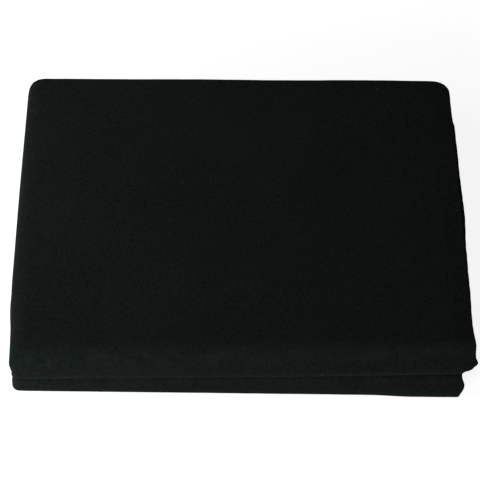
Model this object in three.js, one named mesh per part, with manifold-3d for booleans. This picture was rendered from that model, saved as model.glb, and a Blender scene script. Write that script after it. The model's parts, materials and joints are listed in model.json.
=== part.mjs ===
// A felt mat for calligraphy, folded into a bundle.
// One sheet of felt is doubled lengthwise, with the fold along its left side, and the doubled strip is then
// folded zigzag into four leaves: bottom, third, second and top. The creases between them lie at the front
// (lower), at the back, and at the front again (upper).
// Every leaf is drawn where it lies in the flat strip, x across it and y along it, and each crease is a group
// that turns the leaves beyond it by half a turn.
import * as THREE from "three";
import { mergeVertices } from "three/addons/utils/BufferGeometryUtils.js";
import Module from "manifold-3d";

const wasm = await Module();
wasm.setup();

// Driving dimensions, in millimetres
const SHEET_WIDTH = 800;
const SHEET_LENGTH = 1200;
const FELT = 5.7;
const CLEARANCE = 0.3;
const CORNER_RADIUS = 17; // of the sheet's own corners
const BEND_CORNER_RADIUS = 11; // a bend draws in this far at its two ends
const FRONT_STEP = 3.5; // the lower front bend stands out this far past the upper one
const BACK_STEP = 1.5; // the top leaf's free end lies this far out past the back bend
const END_ROOM = 6; // between the sheet's two free ends once the back crease is laid open

// Driving angles, in degrees: the mat is folded by hand, and nothing is quite square
const THIRD_TURN = -0.6; // how far the third leaf lies askew, and the rest with it
const LOWER_CREASE_SKEW = -0.35; // a skew crease turns what lies beyond it by twice as much
const BACK_CREASE_SKEW = 0.5;
const UPPER_CREASE_SKEW = 0.1;
const TOP_END_SKEW = -0.85; // the top leaf's free end is cut out of square

// Facets in a quarter turn of a bend and of a rounded corner
const BEND_FACETS = 6;
const CORNER_FACETS = 6;

const FELT_BLACK = 0x141817;

// Thicknesses and radii that follow from the felt
const LEAF = 2 * FELT + CLEARANCE;
const SIDE_RADIUS = FELT + CLEARANCE / 2;
const BEND_RADIUS = LEAF + CLEARANCE / 2;

// Widths: what the side fold leaves of half the sheet
const SIDE_FOLD_RUN = Math.PI * (SIDE_RADIUS - FELT / 2);
const PLY_WIDTH = (SHEET_WIDTH - SIDE_FOLD_RUN) / 2;
const STRIP_WIDTH = PLY_WIDTH + SIDE_RADIUS;
const LEFT = -STRIP_WIDTH / 2;
const RIGHT = STRIP_WIDTH / 2;
const PLY_LEFT = LEFT + SIDE_RADIUS;

// Lengths of the four leaves, which make up the sheet's length with the three bends
const BEND_RUN = Math.PI * (BEND_RADIUS - LEAF / 2);
const FLAT_RUN = SHEET_LENGTH - 3 * BEND_RUN;
const SECOND_LENGTH = (FLAT_RUN - 2 * FRONT_STEP + END_ROOM) / 4;
const THIRD_LENGTH = SECOND_LENGTH + FRONT_STEP;
const TOP_OVERHANG = BEND_RADIUS + BACK_STEP;
const TOP_LENGTH = SECOND_LENGTH + TOP_OVERHANG;
const BOTTOM_LENGTH = THIRD_LENGTH - TOP_OVERHANG - END_ROOM;

// Where the creases cross the flat strip, in which the third leaf starts at y = 0
const LOWER_CREASE = 0;
const BACK_CREASE = LOWER_CREASE + THIRD_LENGTH;
const UPPER_CREASE = BACK_CREASE + SECOND_LENGTH;

// The strip lies from z = 0 up to LEAF, and a crease turns it about one of its two faces
const UNDER_FACE = -CLEARANCE / 2;
const OVER_FACE = LEAF + CLEARANCE / 2;

const UP = new THREE.Vector3(0, 0, 1);
const radians = THREE.MathUtils.degToRad;

// Closed geometry as a solid that can be cut, and back again

function solidOf(geometry) {
  const bare = geometry.clone();
  bare.deleteAttribute("normal");
  bare.deleteAttribute("uv");
  const merged = mergeVertices(bare);
  const vertProperties = new Float32Array(merged.attributes.position.array);
  const triVerts = new Uint32Array(merged.index.array);
  return new wasm.Manifold(new wasm.Mesh({ numProp: 3, vertProperties, triVerts }));
}

function geometryOf(solid) {
  const { vertProperties, triVerts } = solid.getMesh();
  const geometry = new THREE.BufferGeometry();
  geometry.setAttribute("position", new THREE.BufferAttribute(vertProperties, 3));
  geometry.setIndex(new THREE.BufferAttribute(triVerts, 1));
  geometry.computeVertexNormals();
  return geometry;
}

function addFelt(frame, name, geometry) {
  const felt = new THREE.MeshStandardMaterial({ color: FELT_BLACK, roughness: 0.95, metalness: 0 });
  const mesh = new THREE.Mesh(geometry, felt);
  mesh.name = name;
  frame.add(mesh);
}

// Sections and how they are placed

// Half of a ring, on the side of its centre that the angle faces
function halfRing(x, y, inner, outer, facing) {
  const first = facing - Math.PI / 2;
  const last = facing + Math.PI / 2;
  const ring = new THREE.Shape();
  ring.absarc(x, y, outer, first, last, false);
  ring.absarc(x, y, inner, last, first, true);
  ring.closePath();
  return ring;
}

function prism(shape, depth, curveSegments) {
  return new THREE.ExtrudeGeometry(shape, { depth, curveSegments, bevelEnabled: false });
}

// A section drawn in x and y stands in y and z instead, and runs along x from the given place
function alongX(geometry, start) {
  const turn = new THREE.Matrix4().makeBasis(
    new THREE.Vector3(0, 1, 0),
    new THREE.Vector3(0, 0, 1),
    new THREE.Vector3(1, 0, 0),
  );
  return geometry.applyMatrix4(turn).translate(start, 0, 0);
}

// A section drawn in x and y stands in x and z instead, and runs along y up to the given place
function alongY(geometry, end) {
  return geometry.rotateX(Math.PI / 2).translate(0, end, 0);
}

// The outline of a stretch of the strip between two ends { at, skew, radius }, with corners of that radius.
// A free end of the sheet is rounded, and an end at a crease is square.
function stripOutline(near, far) {
  const endY = (end, x) => end.at + Math.tan(radians(end.skew)) * x;
  const outline = new THREE.Shape();
  const turnCorner = (end, x, inward, sideFirst) => {
    if (end.radius === 0) {
      outline.lineTo(x, endY(end, x));
      return;
    }
    const endX = x - Math.sign(x) * end.radius;
    const onSide = [x, endY(end, x) + inward * end.radius];
    const onEnd = [endX, endY(end, endX)];
    const [first, last] = sideFirst ? [onSide, onEnd] : [onEnd, onSide];
    outline.lineTo(...first);
    outline.quadraticCurveTo(x, endY(end, x), ...last);
  };
  outline.moveTo(0, near.at);
  turnCorner(near, RIGHT, 1, false);
  turnCorner(far, RIGHT, -1, true);
  turnCorner(far, LEFT, -1, false);
  turnCorner(near, LEFT, 1, true);
  outline.closePath();
  return outline;
}

// A leaf's two plies and the side fold that joins them, all cut to the leaf's outline
function addLeaf(frame, name, [lowPly, highPly], near, far) {
  const column = solidOf(prism(stripOutline(near, far), LEAF, CORNER_FACETS));
  const ply = new THREE.BoxGeometry(PLY_WIDTH - CLEARANCE, 2 * SHEET_LENGTH, FELT);
  ply.translate((PLY_LEFT + CLEARANCE + RIGHT) / 2, 0, FELT / 2);
  addFelt(frame, `${name}_${lowPly}_ply`, geometryOf(column.intersect(solidOf(ply))));
  ply.translate(0, 0, FELT + CLEARANCE);
  addFelt(frame, `${name}_${highPly}_ply`, geometryOf(column.intersect(solidOf(ply))));
  const section = halfRing(PLY_LEFT, LEAF / 2, CLEARANCE / 2, SIDE_RADIUS, Math.PI);
  const fold = alongY(prism(section, 2 * SHEET_LENGTH, BEND_FACETS), SHEET_LENGTH);
  addFelt(frame, `${name}_side_fold`, geometryOf(column.intersect(solidOf(fold))));
}

// The room that a crease's bends fill, on the side that the sign gives: drawn in at its two ends
function bendColumn(sign) {
  const crease = { at: 0, skew: 0, radius: 0 };
  const outside = { at: sign * BEND_RADIUS, skew: 0, radius: Math.min(BEND_CORNER_RADIUS, BEND_RADIUS) };
  const outline = sign > 0 ? stripOutline(crease, outside) : stripOutline(outside, crease);
  const column = prism(outline, 2 * BEND_RADIUS, CORNER_FACETS);
  return solidOf(column.translate(0, 0, -BEND_RADIUS));
}

// One ply's way round a crease
function addBendPly(crease, name, inner, sign) {
  const section = halfRing(0, 0, inner, inner + FELT, sign > 0 ? 0 : Math.PI);
  const start = PLY_LEFT + CLEARANCE;
  const run = alongX(prism(section, RIGHT - start, BEND_FACETS), start);
  addFelt(crease, name, geometryOf(solidOf(run).intersect(bendColumn(sign))));
}

// The side fold's way round a crease: its section turned about the crease
function addBendSide(crease, name, sign) {
  const middle = BEND_RADIUS - LEAF / 2;
  const section = halfRing(middle, PLY_LEFT, CLEARANCE / 2, SIDE_RADIUS, -Math.PI / 2);
  const ring = new THREE.LatheGeometry(section.getPoints(BEND_FACETS), 4 * BEND_FACETS);
  const turned = solidOf(ring.rotateZ(-Math.PI / 2));
  addFelt(crease, name, geometryOf(turned.intersect(bendColumn(sign))));
}

// A crease across the strip at y = at: its bends, and the frame of the strip beyond it, turned over
function addCrease(frame, name, { at, face, skew, sign }) {
  const crease = new THREE.Group();
  crease.name = `${name}_crease`;
  crease.position.set(0, at, face);
  crease.rotation.z = radians(skew);
  frame.add(crease);
  addBendPly(crease, `${name}_bend_inner`, CLEARANCE / 2, sign);
  addBendPly(crease, `${name}_bend_outer`, CLEARANCE / 2 + FELT + CLEARANCE, sign);
  addBendSide(crease, `${name}_bend_side`, sign);
  const turned = new THREE.Group();
  turned.rotation.x = Math.PI;
  crease.add(turned);
  const beyond = new THREE.Group();
  beyond.position.set(0, -at, -face).applyAxisAngle(UP, -crease.rotation.z);
  beyond.rotation.z = -crease.rotation.z;
  turned.add(beyond);
  return beyond;
}

// The mat: the third leaf, with the bottom leaf turned under it and the second and top leaves turned over it

const before = (at, skew = 0) => ({ at: at - CLEARANCE, skew, radius: 0 });
const after = (at, skew = 0) => ({ at: at + CLEARANCE, skew, radius: 0 });
const freeEnd = (at, skew = 0) => ({ at, skew, radius: CORNER_RADIUS });

const strip = new THREE.Group();
strip.rotation.z = radians(THIRD_TURN);
const thirdFront = after(LOWER_CREASE, LOWER_CREASE_SKEW);
const thirdBack = before(BACK_CREASE, BACK_CREASE_SKEW);
addLeaf(strip, "third_leaf", ["lower", "upper"], thirdFront, thirdBack);

const lowerFront = { at: LOWER_CREASE, face: UNDER_FACE, skew: LOWER_CREASE_SKEW, sign: -1 };
const under = addCrease(strip, "lower_front", lowerFront);
const bottomBack = freeEnd(LOWER_CREASE - BOTTOM_LENGTH);
const bottomFront = before(LOWER_CREASE, LOWER_CREASE_SKEW);
addLeaf(under, "bottom_leaf", ["upper", "lower"], bottomBack, bottomFront);

const back = { at: BACK_CREASE, face: OVER_FACE, skew: BACK_CREASE_SKEW, sign: 1 };
const over = addCrease(strip, "back", back);
const secondBack = after(BACK_CREASE, BACK_CREASE_SKEW);
const secondFront = before(UPPER_CREASE, UPPER_CREASE_SKEW);
addLeaf(over, "second_leaf", ["upper", "lower"], secondBack, secondFront);

const upperFront = { at: UPPER_CREASE, face: UNDER_FACE, skew: UPPER_CREASE_SKEW, sign: 1 };
const top = addCrease(over, "upper_front", upperFront);
const topFront = after(UPPER_CREASE, UPPER_CREASE_SKEW);
const topBack = freeEnd(UPPER_CREASE + TOP_LENGTH, TOP_END_SKEW);
addLeaf(top, "top_leaf", ["lower", "upper"], topFront, topBack);

// The origin is under the middle of the bundle
const mat = new THREE.Group();
mat.add(strip);
const box = new THREE.Box3().setFromObject(mat, true);
const middle = box.getCenter(new THREE.Vector3());
strip.position.set(-middle.x, -middle.y, -box.min.z);

export default mat;
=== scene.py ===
"""A felt mat for calligraphy, folded into a bundle of four leaves of two plies each.

One sheet of felt is doubled lengthwise, with the fold on its left, and the doubled strip is folded zigzag.
The strip is cut out flat as three slabs of felt, and each slab is wrapped round one crease: bottom leaf and
lower front bend; third leaf and back bend; second leaf, upper front bend and top leaf.
"""
import json
import math

import bmesh
import bpy
import numpy as np
from mathutils import Matrix, Vector

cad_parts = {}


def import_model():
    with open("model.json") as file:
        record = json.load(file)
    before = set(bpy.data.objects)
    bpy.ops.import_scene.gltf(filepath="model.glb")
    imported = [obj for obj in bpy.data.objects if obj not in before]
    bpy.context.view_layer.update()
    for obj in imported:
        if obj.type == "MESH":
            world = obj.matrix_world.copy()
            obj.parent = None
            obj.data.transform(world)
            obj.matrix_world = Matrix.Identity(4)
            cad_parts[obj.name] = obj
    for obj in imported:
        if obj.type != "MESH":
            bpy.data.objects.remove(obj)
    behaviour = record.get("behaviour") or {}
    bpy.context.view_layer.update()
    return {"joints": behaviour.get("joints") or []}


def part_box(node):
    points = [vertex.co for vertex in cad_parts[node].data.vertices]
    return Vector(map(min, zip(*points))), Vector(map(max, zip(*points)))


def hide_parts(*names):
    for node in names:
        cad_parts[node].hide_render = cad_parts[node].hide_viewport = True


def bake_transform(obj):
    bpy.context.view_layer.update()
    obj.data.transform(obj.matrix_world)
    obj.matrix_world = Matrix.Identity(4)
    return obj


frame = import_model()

# The sheet, in metres: its width, how far the top leaf steps past the back bend, the room between the free
# ends when the back crease is open, and the skew and the rounded corners of the free ends
SHEET_WIDTH = 0.8
BACK_STEP = 0.0015
END_ROOM = 0.006
TOP_END_SKEW = math.radians(-0.85)
BOTTOM_END_SKEW = 0.0
CORNER_RADIUS = 0.017

# Its folds, from the frame: a ply, a leaf of two plies, the gap between plies, the outside of the side fold
# and of a bend, how much felt goes round each of them, and where a leaf lies across the strip
LEAF_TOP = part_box("top_leaf_upper_ply")[1].z
FELT = LEAF_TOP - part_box("top_leaf_upper_ply")[0].z
LEAF = LEAF_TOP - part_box("top_leaf_lower_ply")[0].z
GAP = LEAF - 2 * FELT
SIDE_RADIUS = LEAF / 2
BEND_RADIUS = LEAF + GAP / 2
SIDE_RUN = math.pi * (GAP + FELT) / 2
BEND_RUN = math.pi * (GAP + LEAF) / 2
PLY_WIDTH = (SHEET_WIDTH - SIDE_RUN) / 2
RIGHT = (PLY_WIDTH + SIDE_RADIUS) / 2
LEFT = -RIGHT
PLY_LEFT = LEFT + SIDE_RADIUS

# The frame's nodes in each leaf and in each bend
LEAF_NODES = ("upper_ply", "lower_ply", "side_fold")
BEND_NODES = ("outer", "inner", "side")

# Rounding of the cut edges, and how far in from them the felt looks cut
RIM_RADIUS = 0.0016
RIM_SEGMENTS = 3
CUT_REACH = 0.9 * RIM_RADIUS

# How far the cut edges wander from straight, how far in that is felt, and how much shorter the first half of
# the sheet is than the second
WANDER = 0.0004
WANDER_LENGTHS = (0.31, 0.13, 0.047, 0.014)
WANDER_REACH = 0.04
FIRST_HALF_SHORT = 0.0008
FIRST_HALF_SEED = 20
SECOND_HALF_SEED = 21

# How far the two plies part at the cut edge, on the whole and in waves, and how far in that is felt
GAPE = 0.0003
GAPE_WAVES = 0.00018
GAPE_LENGTHS = (0.21, 0.09)
GAPE_REACH = 0.03
GAPE_SEED = 31

# Lumps in the surface: fine ones all over, which only sink in, and the top leaf's broad swells
RELIEF = 0.0001
RELIEF_LENGTHS = (0.017, 0.026, 0.04)
RELIEF_SEED = 3
SWELL = 0.0004
SWELL_LENGTHS = (0.13, 0.19, 0.27)
SWELL_SEED = 8
LUMP_WAVES = 7

# How far in from an edge a leaf grows thinner, and the share of its thickness that it loses there. At a
# crease only the leaf below it grows thinner.
CREASE_REACH = 0.042
CREASE_LOSS = 0.1
RIGHT_REACH = 0.02
RIGHT_LOSS = 0.1
LEFT_REACH = 0.014
LEFT_LOSS = 0.09
FREE_REACH = 0.016
FREE_LOSS = 0.05

# How far from the stretch before it a stretch has its thin sides and its lumps in full
SEAM_REACH = 0.04

# How far behind its bend the top leaf starts to fall towards its crease
SHOULDER = 0.013

# How far in from an edge its shift is felt, and the shifts where one stretch of felt joins the next
EDGE_REACH = 0.06
LOWER_LEFT_IN = 0.0068
LOWER_RIGHT_IN = 0.0048
BACK_RIGHT_IN = 0.0003

# Spacing of the mesh, the angle from which its edges are sharp, and the least distance and cosine that count
FLAT_STEP = 0.0037
RIM_STEP = 0.002
RIM_STEPS = 5
SIDE_STEPS = 16
BEND_STEPS = 25
SHARP_ANGLE = math.radians(50)
LEAST_DISTANCE = 1e-6
LEAST_COSINE = 1e-3

# The felt's colours: dark and light, each with the tone that gives it, the tint of faded felt, and the
# colours of rubbed nap (on the front bends also painted light), cut edges, loose fibres and lint
FELT_TONES = ((0.3, (0.0039, 0.0045, 0.0039, 1.0)), (0.7, (0.0099, 0.0114, 0.0100, 1.0)))
FELT_FADED = (0.82, 1.04, 1.07, 1.0)
# Paler rubbed nap; on the front bends it is also painted light, lifting the shade in the crease and lighting
# the upper shoulder
FELT_RUBBED_AND_PAINTED_LIGHT = (0.0130, 0.0165, 0.0156, 1.0)
FELT_CUT = (0.0078, 0.0092, 0.0083, 1.0)
WISP_COLOUR = (0.021, 0.027, 0.025, 1.0)
LINT_COLOUR = (0.06, 0.066, 0.06, 1.0)

# How the felt takes the light, and the relief of its nap
FELT_FINISH = {
    "Roughness": 0.95,
    "Specular IOR Level": 0.0,
    "Sheen Weight": 0.03,
    "Sheen Roughness": 0.5,
    "Sheen Tint": (0.6, 0.85, 0.8, 1.0),
}
NAP_STRENGTH = 0.5
NAP_HEIGHT = 0.0006

# Patterns in the felt: how many to a metre, how much finer detail they have and how rough that is
CLOUDS = (16.0, 2.0, 0.5)
BLOTCHES = (75.0, 3.0, 0.6)
GRAIN = (420.0, 5.0, 0.75)
FIBRES = (1100.0, 3.0, 0.6)

# What the patterns do to the tone, to worn places and to painted light: a pattern's low and high, and what
# these turn into
CLOUD_TONE = (0.3, 0.7, -0.03, 0.03)
FIBRE_TONE = (0.45, 0.75, -0.12, 0.12)
BLOTCH_WEAR = (0.38, 0.62, 0.45, 1.0)
FIBRE_WEAR = (0.5, 0.72, 0.3, 1.0)
CUT_WEAR = (0.35, 0.65, 0.2, 0.9)

# How the fibres lie: how much longer than wide, which ways, and how far and how often to a metre they curl
FIBRE_STRETCH = 8.0
FIBRE_TURNS = ((0.0, 0.0, 0.2), (0.0, 0.0, 1.2), (0.0, 0.0, 2.3))
CURL = 0.006
CURL_SCALE = 90.0

# Loose fibres that rubbing has lifted: how many to a metre, how wide beside the room that each has, how
# much longer than wide, and which ways they lie
WISP_SCALE = 300.0
WISP_SIZE = 0.065
WISP_STRETCH = 22.0
WISP_TURNS = ((0.7, 0.0, 0.5), (0.8, 0.0, -0.6), (0.2, 0.0, 1.3))

# Specks of pale lint: how many to a metre, and how wide beside the room that each has
LINT_SCALE = 38.0
LINT_SIZE = 0.024

# Rubbed nap on the side fold: how hard it is rubbed, and how far that reaches
SIDE_RUBBED = 0.6
SIDE_REACH = 0.016

# Rubbed nap with painted light on the front bends: how far past the bend it lies, how far it reaches back
# round the bend, how far on over the leaf, and how strong its paler colour is. Pairs are for the left and
# for the right.
# On the upper bend it is partly paler rubbed nap and partly a painted highlight on the shoulder, lighter
# than the lamps make it
UPPER_RUB_AND_PAINTED_HIGHLIGHT = {"past": 0.0015, "back": (0.017, 0.004), "on": 0.016, "strength": (1.0, 1.0)}
# On the lower bend it is mostly painted light that lifts the shade in the crease under the upper bend's lip,
# strongest at the right, with some paler rubbed fibres
LOWER_RUB_AND_PAINTED_LIGHT = {"past": 0.0, "back": (0.012, 0.0045), "on": 0.013, "strength": (1.0, 1.9)}

# How far from there, both ways, the felt has faded
FADED_REACH = 0.02

# Floor and sky, and the rays that show them to the camera
WHITE = (1.0, 1.0, 1.0, 1.0)
FLOOR_COLOUR = (0.8, 0.8, 0.8, 1.0)
FLOOR_SHADOWED = (0.3, 0.3, 0.3, 1.0)
FLOOR_GLOW = 0.86
FLOOR_HALF = 4.0
SKY_LIGHT = 0.18
SHOWING_RAYS = ("Is Camera Ray", "Is Glossy Ray", "Is Transmission Ray")

# Soft boxes: where each stands, its width and height, and its power; and where they all face
LAMPS = {
    "left": ((-0.6, -0.02, 0.35), (1.0, 0.3), 4.7),
    "front": ((-0.9, -1.8, 0.7), (0.9, 0.7), 37.0),
}
LAMP_AIM = (0.0, 0.0, 0.03)

# The camera: where it looks and from where, in the frame of the mat
CAMERA_ELEVATION = math.radians(57.88)
CAMERA_AZIMUTH = math.radians(-0.34)
CAMERA_ROLL = math.radians(0.13)
CAMERA_DISTANCE = 1.3475
CAMERA_TARGET = Vector((0.00147, -0.01298, 0.030))
FOCAL_PIXELS = 1492.0
IMAGE_PIXELS = 480
SENSOR_MM = 36.0


# Curves that the shapes are made from

def smooth(value):
    """Eases from 0 to 1 as the value goes from 0 to 1."""
    value = np.clip(value, 0.0, 1.0)
    return value * value * (3 - 2 * value)


def near(distance, reach):
    """1 at no distance, easing to 0 at the reach."""
    return 1 - smooth(distance / reach)


def between(ends, share):
    """A value that goes evenly from one end to the other as the share goes from 0 to 1."""
    return ends[0] + (ends[1] - ends[0]) * share


def level(value):
    """Knots (share, value) of a curve that stays level."""
    return (0.0, value), (1.0, value)


def eased(share, knots):
    """A curve through knots (share, value) that is level at each of them."""
    total = np.full_like(share, knots[0][1])
    for (start, low), (end, high) in zip(knots, knots[1:]):
        total += (high - low) * smooth((share - start) / (end - start))
    return total


def wandering(along, lengths, seed):
    """A line that wanders about 0, made of waves of the given lengths."""
    draws = np.random.default_rng(seed)
    total = np.zeros_like(along)
    for length in lengths:
        share = math.sqrt(length / max(lengths))
        total += share * np.sin(2 * math.pi * along / length + draws.uniform(0, 2 * math.pi))
    return total


def lumps(across, along, lengths, seed):
    """A lumpy surface about 0, with lumps of the given lengths."""
    draws = np.random.default_rng(seed)
    total = np.zeros_like(along)
    for length in lengths:
        for _ in range(LUMP_WAVES):
            turn = draws.uniform(0, math.pi)
            start = draws.uniform(0, 2 * math.pi)
            track = across * math.cos(turn) + along * math.sin(turn)
            total += np.sin(2 * math.pi * track / length + start)
    return total / math.sqrt(LUMP_WAVES * len(lengths))


# Creases and free ends, seen from above: lines with a point for each place across the strip

def crease_of(joint):
    """A crease's middle, its direction towards +X and its height."""
    direction = np.array(joint["axis"][:2]) * math.copysign(1, joint["axis"][0])
    return {"middle": np.array(joint["pos_m"][:2]), "direction": direction, "height": joint["pos_m"][2]}


def heading(start, end):
    """The direction from one crease's middle to another's."""
    run = end["middle"] - start["middle"]
    return run / np.linalg.norm(run)


def turned_back(direction, crease):
    """A leaf's direction once it has been folded over at a crease."""
    along = crease["direction"]
    return 2 * np.dot(direction, along) * along - direction


def across_of(direction):
    """The direction across a leaf, towards +X."""
    side = np.array([direction[1], -direction[0]])
    return side * math.copysign(1, side[0])


def crease_line(crease, direction):
    """Where a leaf of that direction meets a crease."""
    share = np.dot(crease["direction"], across_of(direction))
    return lambda across: crease["middle"] + np.outer(across / share, crease["direction"])


def free_line(crease, direction, length, skew):
    """A leaf's free end, with its corners rounded."""

    def points(across):
        from_side = np.minimum(across - LEFT, RIGHT - across)
        turn = np.sqrt(np.clip(from_side / CORNER_RADIUS, 0, 1))
        reach = length + math.tan(skew) * across - CORNER_RADIUS * (1 - turn) ** 2
        return crease["middle"] + np.outer(across, across_of(direction)) + np.outer(reach, direction)

    return points


CREASES = {joint["name"]: crease_of(joint) for joint in frame["joints"]}
LOWER = CREASES["lower_front_fold"]
BACK = CREASES["back_fold"]
UPPER = CREASES["upper_front_fold"]
THIRD_HEADING = heading(LOWER, BACK)
SECOND_HEADING = heading(BACK, UPPER)
TOP_HEADING = turned_back(SECOND_HEADING, UPPER)
BOTTOM_HEADING = turned_back(-THIRD_HEADING, LOWER)
THIRD_LENGTH = np.linalg.norm(BACK["middle"] - LOWER["middle"])
SECOND_LENGTH = np.linalg.norm(UPPER["middle"] - BACK["middle"])
TOP_OVERHANG = BEND_RADIUS + BACK_STEP
TOP_LENGTH = SECOND_LENGTH + TOP_OVERHANG
BOTTOM_LENGTH = THIRD_LENGTH - TOP_OVERHANG - END_ROOM

# The three stretches of the strip. Each has a leaf below its crease, the bend, and perhaps a leaf above.
# "bodies" are the leaves that it moves with, and "replaces" names the leaves and bends that it stands for.
# "below", "meets" and "above" are lines: where the leaf below starts, where it meets the crease, and where
# the leaf above ends. "lengths" are those of the two leaves.
# "sheet_start" is where it starts along the sheet, and "free_start" is true if the sheet starts there.
# "outward" is the way that the bend faces, and "outer" says which half of the sheet lies outside in it:
# 1 for the second half and -1 for the first.
# "left" and "right" are how far each edge lies inside a straight strip, in knots along the leaf below,
# round the bend, where it adds to what the leaves give, and along the leaf above.
# "nose" is how far the bend stands forward, in knots across the strip.
# "rub_and_painted_light" is the rubbed nap and painted light on a front bend, and "rub_and_light_from" the
# place along the stretch where that bend ends.
STRETCHES = {
    "bottom_leaf": {
        "crease": LOWER,
        "bodies": ("bottom_leaf", "third_leaf"),
        "replaces": ("bottom_leaf", "lower_front_bend"),
        "below": free_line(LOWER, BOTTOM_HEADING, BOTTOM_LENGTH, BOTTOM_END_SKEW),
        "meets": crease_line(LOWER, BOTTOM_HEADING),
        "above": None,
        "lengths": (BOTTOM_LENGTH, 0.0),
        "sheet_start": 0.0,
        "free_start": True,
        "outward": -THIRD_HEADING,
        "outer": 1,
        "left": (
            ((0.0, 0.0), (0.75, 0.0), (1.0, 0.006)),
            ((0.0, 0.0), (0.35, 0.001), (0.55, 0.0022), (0.78, 0.0033), (1.0, 0.0)),
            level(LOWER_LEFT_IN),
        ),
        "right": (
            ((0.0, 0.0), (0.7, 0.0), (1.0, 0.006)),
            ((0.0, 0.0), (0.25, 0.0016), (0.5, 0.0013), (0.8, -0.0019), (1.0, 0.0)),
            level(LOWER_RIGHT_IN),
        ),
        "nose": ((0.0, 0.0), (0.78, 0.0), (0.88, 0.0014), (1.0, 0.0014)),
        "rub_and_painted_light": LOWER_RUB_AND_PAINTED_LIGHT,
        "rub_and_light_from": BOTTOM_LENGTH + BEND_RUN,
    },
    "third_leaf": {
        "crease": BACK,
        "bodies": ("third_leaf", "second_leaf"),
        "replaces": ("third_leaf", "back_bend"),
        "below": crease_line(LOWER, THIRD_HEADING),
        "meets": crease_line(BACK, THIRD_HEADING),
        "above": None,
        "lengths": (THIRD_LENGTH, 0.0),
        "sheet_start": BOTTOM_LENGTH + BEND_RUN,
        "free_start": False,
        "outward": THIRD_HEADING,
        "outer": -1,
        "left": (
            ((0.0, LOWER_LEFT_IN), (0.25, 0.0), (1.0, 0.0)),
            ((0.0, 0.0), (0.5, 0.009), (1.0, 0.0)),
            level(0.0),
        ),
        "right": (
            ((0.0, LOWER_RIGHT_IN), (0.3, -0.0008), (0.6, -0.0045), (0.87, -0.0042), (0.94, BACK_RIGHT_IN),
             (1.0, BACK_RIGHT_IN)),
            ((0.0, 0.0), (0.5, 0.011), (1.0, 0.0)),
            level(BACK_RIGHT_IN),
        ),
        "nose": level(0.0),
        "rub_and_painted_light": LOWER_RUB_AND_PAINTED_LIGHT,
        "rub_and_light_from": 0.0,
    },
    "second_and_top_leaf": {
        "crease": UPPER,
        "bodies": ("second_leaf", "top_leaf"),
        "replaces": ("second_leaf", "upper_front_bend", "top_leaf"),
        "below": crease_line(BACK, SECOND_HEADING),
        "meets": crease_line(UPPER, SECOND_HEADING),
        "above": free_line(UPPER, TOP_HEADING, TOP_LENGTH, TOP_END_SKEW),
        "lengths": (SECOND_LENGTH, TOP_LENGTH),
        "sheet_start": BOTTOM_LENGTH + THIRD_LENGTH + 2 * BEND_RUN,
        "free_start": False,
        "outward": SECOND_HEADING,
        "outer": 1,
        "left": (
            ((0.0, 0.0), (0.8, 0.0), (1.0, 0.005)),
            ((0.0, 0.0), (0.5, 0.0022), (1.0, 0.0)),
            ((0.0, 0.0026), (0.3, -0.0004), (0.6, -0.0006), (1.0, -0.0002)),
        ),
        "right": (
            ((0.0, BACK_RIGHT_IN), (0.062, BACK_RIGHT_IN), (0.125, -0.0042), (0.4, -0.005), (0.75, -0.0012),
             (1.0, 0.003)),
            ((0.0, 0.0), (0.15, 0.0057), (0.3, 0.0091), (0.5, 0.0092), (0.66, 0.0021), (0.82, -0.002),
             (1.0, 0.0)),
            ((0.0, 0.0004), (0.045, -0.0006), (0.09, 0.0005), (0.2, 0.0004), (1.0, 0.0)),
        ),
        "nose": ((0.0, 0.0), (0.6, 0.0), (1.0, -0.0012)),
        "rub_and_painted_light": UPPER_RUB_AND_PAINTED_HIGHLIGHT,
        "rub_and_light_from": SECOND_LENGTH + BEND_RUN,
    },
}


# Flat slabs of felt

def steps(length, start_rim, end_rim):
    """Places along a flat length, closer together at a cut edge."""
    start = RIM_STEP * RIM_STEPS * start_rim
    end = length - RIM_STEP * RIM_STEPS * end_rim
    middle = np.linspace(start, end, round((end - start) / FLAT_STEP) + 1)
    before = np.arange(RIM_STEPS * start_rim) * RIM_STEP
    after = length - np.arange(RIM_STEPS * end_rim)[::-1] * RIM_STEP
    return np.concatenate([before, middle, after])


def columns():
    """Places across the sheet: a ply, the side fold and the other ply."""
    ply = steps(PLY_WIDTH, True, False)
    fold = np.linspace(PLY_WIDTH, PLY_WIDTH + SIDE_RUN, SIDE_STEPS + 1)[1:-1]
    return np.concatenate([ply, fold, (SHEET_WIDTH - ply)[::-1]])


def rows(stretch):
    """Places along a stretch: the leaf below, the bend and the leaf above."""
    below, above = stretch["lengths"]
    places = steps(below, stretch["free_start"], False)
    bend = np.linspace(below, below + BEND_RUN, BEND_STEPS + 1)[1:]
    places = np.concatenate([places, bend])
    if above:
        places = np.concatenate([places, below + BEND_RUN + steps(above, False, True)[1:]])
    return places


def cuts(stretch):
    """Where the sheet is cut along a stretch: its two sides, and its free end if it has one."""
    below, above = stretch["lengths"]
    ends = [0.0] if stretch["free_start"] else []
    if above:
        ends.append(below + BEND_RUN + above)
    return (0.0, SHEET_WIDTH), ends


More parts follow.
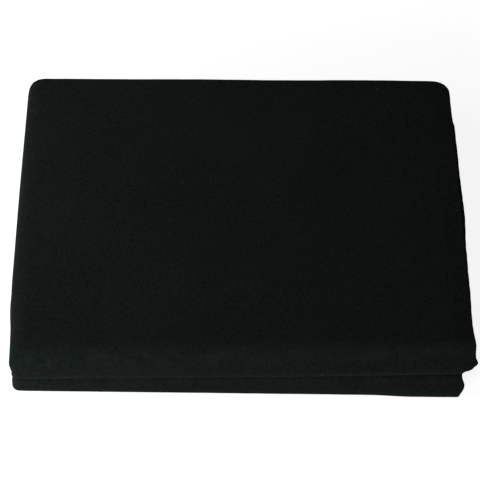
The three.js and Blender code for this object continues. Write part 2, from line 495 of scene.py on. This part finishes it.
def flat_slab(stretch):
    """A flat slab of felt: x across the sheet, y along it, z from the face that is folded inwards."""
    across, along = columns(), rows(stretch)
    half = 0.5
    sheet = bmesh.new()
    bmesh.ops.create_grid(sheet, x_segments=len(across) - 1, y_segments=len(along) - 1, size=half)
    for vert in sheet.verts:
        column = round((vert.co.x + half) * (len(across) - 1))
        row = round((vert.co.y + half) * (len(along) - 1))
        vert.co = (across[column], along[row], 0.0)
    face = bmesh.ops.extrude_face_region(sheet, geom=sheet.faces[:])
    raised = [item for item in face["geom"] if isinstance(item, bmesh.types.BMVert)]
    bmesh.ops.translate(sheet, verts=raised, vec=(0.0, 0.0, FELT))
    sides, ends = cuts(stretch)

    def on_a_cut(edge):
        first, second = (vert.co for vert in edge.verts)
        flat = abs(first.z - second.z) < FELT / 2
        on_side = any(abs(first.x - side) + abs(second.x - side) < LEAST_DISTANCE for side in sides)
        on_end = any(abs(first.y - end) + abs(second.y - end) < LEAST_DISTANCE for end in ends)
        return flat and (on_side or on_end)

    rims = [edge for edge in sheet.edges if on_a_cut(edge)]
    bmesh.ops.bevel(
        sheet, geom=rims, offset=RIM_RADIUS, offset_type="OFFSET", affect="EDGES",
        segments=RIM_SEGMENTS, profile=0.5, material=-1, clamp_overlap=True,
    )
    return sheet


# Folding

def bend_angle(stretch, along):
    """How far round its bend a place along a stretch lies: 0 before it, half a turn past it."""
    below, _ = stretch["lengths"]
    return np.clip((along - below) / BEND_RUN, 0, 1) * math.pi


def in_bend(stretch, along):
    """True between the two ends of the bend."""
    below, _ = stretch["lengths"]
    return (along > below) & (along < below + BEND_RUN)


def past_bend(stretch, along):
    """How far past its bend a place along a stretch lies."""
    below, _ = stretch["lengths"]
    return along - below - BEND_RUN


def doubled(stretch, sheet, depth):
    """The doubled strip's section: places across it, and heights above the face inside the crease."""
    half = (sheet - SHEET_WIDTH / 2) * stretch["outer"]
    turn = np.clip(half / (SIDE_RUN / math.pi), -math.pi / 2, math.pi / 2)
    ring = GAP / 2 + depth
    across = PLY_LEFT - ring * np.cos(turn) + np.maximum(np.abs(half) - SIDE_RUN / 2, 0)
    return across, LEAF / 2 + ring * np.sin(turn)


def parted(stretch, across, along, height):
    """The heights once the two plies have parted at the cut edge."""
    strip = stretch["sheet_start"] + along
    parting = GAPE + GAPE_WAVES * wandering(strip, GAPE_LENGTHS, GAPE_SEED)
    middle = LEAF / 2
    from_middle = np.abs(height - middle) / middle
    away = np.sign(height - middle) * (1 - from_middle)
    return height + parting * near(RIGHT - across, GAPE_REACH) * away


def thickness_left(stretch, across, along):
    """The share of its thickness that the strip keeps: less at its creases and edges."""
    below, above = stretch["lengths"]
    upward = along > below + BEND_RUN / 2
    crease = CREASE_LOSS * near(np.maximum(below - along, 0), CREASE_REACH) * ~upward
    edges = RIGHT_LOSS * near(RIGHT - across, RIGHT_REACH) + LEFT_LOSS * near(across - LEFT, LEFT_REACH)
    if stretch["free_start"]:
        edges += FREE_LOSS * near(along, FREE_REACH)
    else:
        edges *= 1 - near(along, SEAM_REACH)
    if above:
        edges += FREE_LOSS * near(below + BEND_RUN + above - along, FREE_REACH)
    else:
        edges *= ~upward
    turned = np.where(in_bend(stretch, along), np.cos(bend_angle(stretch, along)) ** 2, 1.0)
    return 1 - (crease + edges) * turned


def away_from_seams(stretch, along):
    """0 where a stretch joins the next one, easing to 1 away from there."""
    below, above = stretch["lengths"]
    share = np.ones_like(along)
    if not stretch["free_start"]:
        share *= 1 - near(along, SEAM_REACH)
    if not above:
        share *= near(along - below, BEND_RUN)
    return share


def from_crease(stretch, across, along, height):
    """How far the felt lies from its crease, with lumps that sink in and a top leaf that swells."""
    strip = stretch["sheet_start"] + along
    kept = thickness_left(stretch, across, along)
    lumpy = lumps(across, strip, RELIEF_LENGTHS, RELIEF_SEED)
    sunk = RELIEF * np.maximum(1 + lumpy / 2, 0) * height / LEAF
    radius = GAP / 2 + height * kept - sunk * away_from_seams(stretch, along)
    if stretch["above"]:
        inward = smooth(past_bend(stretch, along) / CREASE_REACH) * (height / LEAF) ** 2
        radius += SWELL * lumps(across, strip, SWELL_LENGTHS, SWELL_SEED) * inward
    return radius


def shoulder(angle, beyond):
    """What the felt above a crease keeps of its rise: a quarter of an ellipse from behind the bend on."""
    reach = BEND_RADIUS + SHOULDER
    before_end = beyond < 0
    ahead = np.where(before_end, BEND_RADIUS * np.sin(angle), -beyond)
    fall = np.sqrt(1 - np.clip((ahead + SHOULDER) / reach, 0, 1) ** 2)
    circle = np.where(before_end, np.maximum(np.abs(np.cos(angle)), LEAST_COSINE), 1.0)
    return fall / circle


def wrapped(stretch, across, along, radius):
    """How far out from its crease the felt lies, and how high above it."""
    angle = bend_angle(stretch, along)
    forward = eased(np.clip((across - LEFT) / (RIGHT - LEFT), 0, 1), stretch["nose"])
    out = np.where(in_bend(stretch, along), np.sin(angle), 0.0) * radius * (1 + forward / BEND_RADIUS)
    rise = -radius * np.cos(angle)
    if stretch["above"]:
        rise = np.where(rise > 0, rise * shoulder(angle, past_bend(stretch, along)), rise)
    return out, rise


def edge_shift(stretch, edge, along, radius):
    """How far an edge lies inside a straight strip. In a bend the outside shifts more than the inside."""
    below, above = stretch["lengths"]
    knots_below, knots_bend, knots_above = stretch[edge]
    shift_below = eased(np.clip(along / below, 0, 1), knots_below)
    shift_above = eased(np.clip(past_bend(stretch, along) / max(above, BEND_RUN), 0, 1), knots_above)
    turned = bend_angle(stretch, along) / math.pi
    shift_bend = eased(turned, knots_bend) * np.sqrt(np.abs(radius) / BEND_RADIUS)
    return shift_below + (shift_above - shift_below) * smooth(turned) + shift_bend


def edged(stretch, sheet, across, along, radius):
    """The places across the strip once its edges are shifted, and wander where they are cut."""
    across = across + edge_shift(stretch, "left", along, radius) * near(across - LEFT, EDGE_REACH)
    across = across - edge_shift(stretch, "right", along, radius) * near(RIGHT - across, EDGE_REACH)
    strip = stretch["sheet_start"] + along
    second = WANDER * wandering(strip, WANDER_LENGTHS, SECOND_HALF_SEED)
    first = WANDER * wandering(strip, WANDER_LENGTHS, FIRST_HALF_SEED) - FIRST_HALF_SHORT
    strays = np.where(sheet > SHEET_WIDTH / 2, second, first)
    return across + strays * near(RIGHT - across, WANDER_REACH)


def laid(stretch, across, along, out):
    """The points seen from above: along the leaf below, round the crease and along the leaf above."""
    below, above = stretch["lengths"]
    start, meets = stretch["below"](across), stretch["meets"](across)
    plan = start + (meets - start) * np.clip(along / below, 0, 1)[:, None]
    direction = stretch["crease"]["direction"]
    outward = np.array([-direction[1], direction[0]])
    outward = outward * math.copysign(1, np.dot(outward, stretch["outward"]))
    plan = plan + np.outer(out, outward)
    if stretch["above"]:
        share = np.clip(past_bend(stretch, along) / above, 0, 1)[:, None]
        plan = plan + (stretch["above"](across) - meets) * share
    return plan


def fold(stretch, flat):
    """Where the points of a flat slab lie in the folded mat."""
    sheet, along, depth = flat.T
    across, height = doubled(stretch, sheet, depth)
    height = parted(stretch, across, along, height)
    radius = from_crease(stretch, across, along, height)
    out, rise = wrapped(stretch, across, along, radius)
    across = edged(stretch, sheet, across, along, radius)
    plan = laid(stretch, across, along, out)
    return np.column_stack([plan, stretch["crease"]["height"] + rise])


# Where the felt is worn, and where light and shade are painted on it

def cut_edge(stretch, flat):
    """1 on the cut edges of the sheet."""
    sides, ends = cuts(stretch)
    from_cut = np.min([np.abs(flat[:, 0] - side) for side in sides], axis=0)
    for end in ends:
        from_cut = np.minimum(from_cut, np.abs(flat[:, 1] - end))
    return from_cut < CUT_REACH


def over_front_bend(stretch, flat, back, on):
    """1 outside on a front bend, in the sheet's second half, easing to 0 at the reaches back and on."""
    sheet, along, depth = flat.T
    place = stretch["rub_and_light_from"] + stretch["rub_and_painted_light"]["past"]
    outside = smooth((sheet - SHEET_WIDTH / 2) / SIDE_RUN) * (depth > FELT / 2)
    return near(np.abs(along - place), np.where(along < place, back, on)) * outside


def rubbed_and_painted_light(stretch, flat):
    """How strong the paler nap is outside a fold: rubbed along the side fold, and rubbed with painted light
    over the front bends.
    """
    sheet, _, depth = flat.T
    from_fold = np.abs(sheet - SHEET_WIDTH / 2)
    from_left = from_fold / PLY_WIDTH
    rub_and_painted_light = stretch["rub_and_painted_light"]
    on_bend = over_front_bend(stretch, flat, between(rub_and_painted_light["back"], from_left), rub_and_painted_light["on"])
    on_bend *= between(rub_and_painted_light["strength"], from_left)
    on_side = SIDE_RUBBED * near(from_fold, SIDE_REACH) * (depth > FELT / 2)
    return np.maximum(on_side, on_bend)


def faded(stretch, flat):
    """1 where the felt has faded: the outside of the front bends."""
    return over_front_bend(stretch, flat, FADED_REACH, FADED_REACH)


WEAR_AND_PAINTED_LIGHT_MASKS = {"cut_edge": cut_edge, "rubbed_and_painted_light": rubbed_and_painted_light, "faded": faded}


# Pieces of felt

def new_object(name, data):
    """A new object in the scene."""
    made = bpy.data.objects.new(name, data)
    bpy.context.scene.collection.objects.link(made)
    return made


def felt_piece(name, stretch, felt):
    """One stretch of the folded strip as an object."""
    slab = flat_slab(stretch)
    mesh = bpy.data.meshes.new(name)
    slab.to_mesh(mesh)
    slab.free()
    flat = np.zeros(len(mesh.vertices) * 3, np.float32)
    mesh.vertices.foreach_get("co", flat)
    flat = flat.reshape(-1, 3).astype(float)
    mesh.vertices.foreach_set("co", fold(stretch, flat).astype(np.float32).ravel())
    for mask_name, share in WEAR_AND_PAINTED_LIGHT_MASKS.items():
        attribute = mesh.attributes.new(mask_name, "FLOAT", "POINT")
        attribute.data.foreach_set("value", share(stretch, flat).astype(np.float32))
    folded = bmesh.new()
    folded.from_mesh(mesh)
    bmesh.ops.recalc_face_normals(folded, faces=folded.faces[:])
    folded.to_mesh(mesh)
    folded.free()
    mesh.shade_smooth()
    mesh.set_sharp_from_angle(angle=SHARP_ANGLE)
    mesh.materials.append(felt)
    return new_object(name, mesh)


# Nodes that the materials are made from

def node(tree, kind, inputs, **settings):
    """A new node with its settings, and with values or links on its inputs."""
    made = tree.nodes.new(kind)
    for name, setting in settings.items():
        setattr(made, name, setting)
    for socket, value in inputs.items():
        if isinstance(value, bpy.types.NodeSocket):
            tree.links.new(value, made.inputs[socket])
        else:
            made.inputs[socket].default_value = value
    return made


def maths(tree, operation, first, second):
    """Two values added, multiplied and so on."""
    return node(tree, "ShaderNodeMath", {0: first, 1: second}, operation=operation).outputs["Value"]


def greatest(tree, values):
    """The greatest of several values."""
    total = values[0]
    for value in values[1:]:
        total = maths(tree, "MAXIMUM", total, value)
    return total


def ranged(tree, value, low, high, to_low, to_high):
    """A value that goes from to_low to to_high as another goes from low to high."""
    inputs = {"Value": value, "From Min": low, "From Max": high, "To Min": to_low, "To Max": to_high}
    return node(tree, "ShaderNodeMapRange", inputs).outputs["Result"]


def mixed(tree, share, first, second, blend="MIX"):
    """A colour with a share of a second one mixed in."""
    inputs = {"Factor": share, "A": first, "B": second}
    return node(tree, "ShaderNodeMix", inputs, data_type="RGBA", blend_type=blend).outputs["Result"]


def noise(tree, vector, scale, detail, roughness):
    """A cloudy pattern."""
    inputs = {"Vector": vector, "Scale": scale, "Detail": detail, "Roughness": roughness}
    return node(tree, "ShaderNodeTexNoise", inputs).outputs["Fac"]


def specks(tree, vector, scale, size):
    """1 on small specks."""
    cells = node(tree, "ShaderNodeTexVoronoi", {"Vector": vector, "Scale": scale})
    return ranged(tree, cells.outputs["Distance"], size, size / 2, 0.0, 1.0)


def lying(tree, vector, turn, longer):
    """Coordinates in which a pattern is turned, and drawn out so much longer than wide."""
    inputs = {"Vector": vector, "Rotation": turn, "Scale": (1.0, longer, 1.0)}
    return node(tree, "ShaderNodeMapping", inputs, vector_type="TEXTURE").outputs["Vector"]


def curled(tree, vector, amount, scale):
    """Coordinates in which straight lines are curled."""
    waves = node(tree, "ShaderNodeTexNoise", {"Vector": vector, "Scale": scale})
    inputs = {0: waves.outputs["Color"], 1: (amount, amount, amount), 2: vector}
    return node(tree, "ShaderNodeVectorMath", inputs, operation="MULTIPLY_ADD").outputs["Vector"]


def wear_and_light_mask(tree, name):
    """A mask from WEAR_AND_PAINTED_LIGHT_MASKS: wear, and over the front bends also painted light."""
    return node(tree, "ShaderNodeAttribute", {}, attribute_name=name).outputs["Fac"]


# Felt

def plain_felt(tree, place, strands, grain):
    """Near-black felt, whose tone varies in clouds, fibres and grain."""
    clouds = ranged(tree, noise(tree, place, *CLOUDS), *CLOUD_TONE)
    tone = maths(tree, "ADD", clouds, grain)
    tone = maths(tree, "ADD", tone, ranged(tree, strands, *FIBRE_TONE))
    ramp = node(tree, "ShaderNodeValToRGB", {"Fac": tone})
    for element, (position, colour) in zip(ramp.color_ramp.elements, FELT_TONES):
        element.position = position
        element.color = colour
    return ramp.outputs["Color"]


def worn_and_painted_felt(tree, place, strands, wisps, grain, colour):
    """The felt's colour once it is worn: faded, rubbed, with loose fibres, frayed cut edges and lint, and
    with light painted on the front bends in the paler rubbed colour.
    """
    blotches = ranged(tree, noise(tree, place, *BLOTCHES), *BLOTCH_WEAR)
    nap = maths(tree, "MULTIPLY", blotches, ranged(tree, strands, *FIBRE_WEAR))
    rub_and_painted_light = wear_and_light_mask(tree, "rubbed_and_painted_light")
    cut = maths(tree, "MULTIPLY", wear_and_light_mask(tree, "cut_edge"), ranged(tree, grain, *CUT_WEAR))
    colour = mixed(tree, wear_and_light_mask(tree, "faded"), colour, FELT_FADED, "MULTIPLY")
    # Paler rubbed nap, which over the front bends is also painted light in the crease under the lip and on
    # the upper shoulder
    colour = mixed(tree, maths(tree, "MULTIPLY", rub_and_painted_light, nap), colour, FELT_RUBBED_AND_PAINTED_LIGHT)
    colour = mixed(tree, maths(tree, "MULTIPLY", rub_and_painted_light, wisps), colour, WISP_COLOUR)
    colour = mixed(tree, cut, colour, FELT_CUT)
    return mixed(tree, specks(tree, place, LINT_SCALE, LINT_SIZE), colour, LINT_COLOUR)


def felt_material():
    """Pressed felt with a short nap of matted, curled fibres."""
    material = bpy.data.materials.new("black_felt")
    material.use_nodes = True
    tree = material.node_tree
    shader = tree.nodes["Principled BSDF"]
    for name, value in FELT_FINISH.items():
        shader.inputs[name].default_value = value
    place = tree.nodes.new("ShaderNodeTexCoord").outputs["Object"]
    curls = curled(tree, place, CURL, CURL_SCALE)
    matted = [lying(tree, curls, turn, FIBRE_STRETCH) for turn in FIBRE_TURNS]
    strands = greatest(tree, [noise(tree, lay, *FIBRES) for lay in matted])
    loose = [lying(tree, curls, turn, WISP_STRETCH) for turn in WISP_TURNS]
    wisps = greatest(tree, [specks(tree, lay, WISP_SCALE, WISP_SIZE) for lay in loose])
    grain = noise(tree, place, *GRAIN)
    colour = plain_felt(tree, place, strands, grain)
    colour = worn_and_painted_felt(tree, place, strands, wisps, grain, colour)
    tree.links.new(colour, shader.inputs["Base Color"])
    height = maths(tree, "ADD", strands, grain)
    nap = node(tree, "ShaderNodeBump", {"Strength": NAP_STRENGTH, "Distance": NAP_HEIGHT, "Height": height})
    tree.links.new(nap.outputs["Normal"], shader.inputs["Normal"])
    return material


# The mat

felt = felt_material()
for name, stretch in STRETCHES.items():
    piece = felt_piece(name, stretch, felt)
    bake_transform(piece)
    for part in stretch["replaces"]:
        ends = BEND_NODES if part.endswith("bend") else LEAF_NODES
        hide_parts(*(f"{part}_{end}" for end in ends))


# Floor, light and camera

def seen_rays(tree):
    """1 for rays that show a surface to the camera, straight, mirrored or through glass."""
    path = tree.nodes.new("ShaderNodeLightPath")
    return greatest(tree, [path.outputs[kind] for kind in SHOWING_RAYS])


def white_floor():
    """A pale floor that looks white to the camera, and keeps a soft shadow."""
    material = bpy.data.materials.new("white_floor")
    material.use_nodes = True
    tree = material.node_tree
    tree.nodes.remove(tree.nodes["Principled BSDF"])
    plain = node(tree, "ShaderNodeBsdfDiffuse", {"Color": FLOOR_COLOUR}).outputs["BSDF"]
    shadowed = node(tree, "ShaderNodeBsdfDiffuse", {"Color": FLOOR_SHADOWED}).outputs["BSDF"]
    glow = node(tree, "ShaderNodeEmission", {"Strength": FLOOR_GLOW}).outputs["Emission"]
    seen = node(tree, "ShaderNodeAddShader", {0: shadowed, 1: glow}).outputs["Shader"]
    choice = node(tree, "ShaderNodeMixShader", {"Fac": seen_rays(tree), 1: plain, 2: seen})
    tree.links.new(choice.outputs["Shader"], tree.nodes["Material Output"].inputs["Surface"])
    return material


def floor():
    """A wide floor under the mat."""
    grid = bmesh.new()
    bmesh.ops.create_grid(grid, x_segments=1, y_segments=1, size=FLOOR_HALF)
    mesh = bpy.data.meshes.new("floor")
    grid.to_mesh(mesh)
    grid.free()
    plane = new_object("floor", mesh)
    mesh.materials.append(white_floor())


def lamp(name, place, size, power):
    """A soft box: its size is its width and height."""
    data = bpy.data.lights.new(name, "AREA")
    data.shape = "RECTANGLE"
    data.size, data.size_y = size
    data.energy = power
    light = new_object(name, data)
    light.location = place
    light.rotation_euler = (Vector(LAMP_AIM) - Vector(place)).to_track_quat("-Z", "Y").to_euler()
    light.visible_camera = False


def world():
    """Even light all round, which looks white to the camera."""
    sky = bpy.data.worlds.new("studio")
    sky.use_nodes = True
    tree = sky.node_tree
    light = tree.nodes["Background"]
    light.inputs["Color"].default_value = WHITE
    light.inputs["Strength"].default_value = SKY_LIGHT
    even = light.outputs["Background"]
    white = node(tree, "ShaderNodeBackground", {"Color": WHITE}).outputs["Background"]
    choice = node(tree, "ShaderNodeMixShader", {"Fac": seen_rays(tree), 1: even, 2: white})
    tree.links.new(choice.outputs["Shader"], tree.nodes["World Output"].inputs["Surface"])
    bpy.context.scene.world = sky


def camera():
    """The camera, in front of the mat and above it."""
    tilt, turn = CAMERA_ELEVATION, CAMERA_AZIMUTH
    back = Vector((math.cos(tilt) * math.sin(turn), -math.cos(tilt) * math.cos(turn), math.sin(tilt)))
    level_right = Vector((math.cos(turn), math.sin(turn), 0.0))
    rise = back.cross(level_right)
    right = math.cos(CAMERA_ROLL) * level_right + math.sin(CAMERA_ROLL) * rise
    up = back.cross(right)
    data = bpy.data.cameras.new("camera")
    data.sensor_width = SENSOR_MM
    data.lens = FOCAL_PIXELS * SENSOR_MM / IMAGE_PIXELS
    eye = new_object("camera", data)
    turned = Matrix((right, up, back)).transposed().to_4x4()
    eye.matrix_world = Matrix.Translation(CAMERA_TARGET + CAMERA_DISTANCE * back) @ turned
    bpy.context.scene.camera = eye


floor()
world()
for name, (place, size, power) in LAMPS.items():
    lamp(name, place, size, power)
camera()
bpy.context.scene.view_settings.view_transform = "Standard"
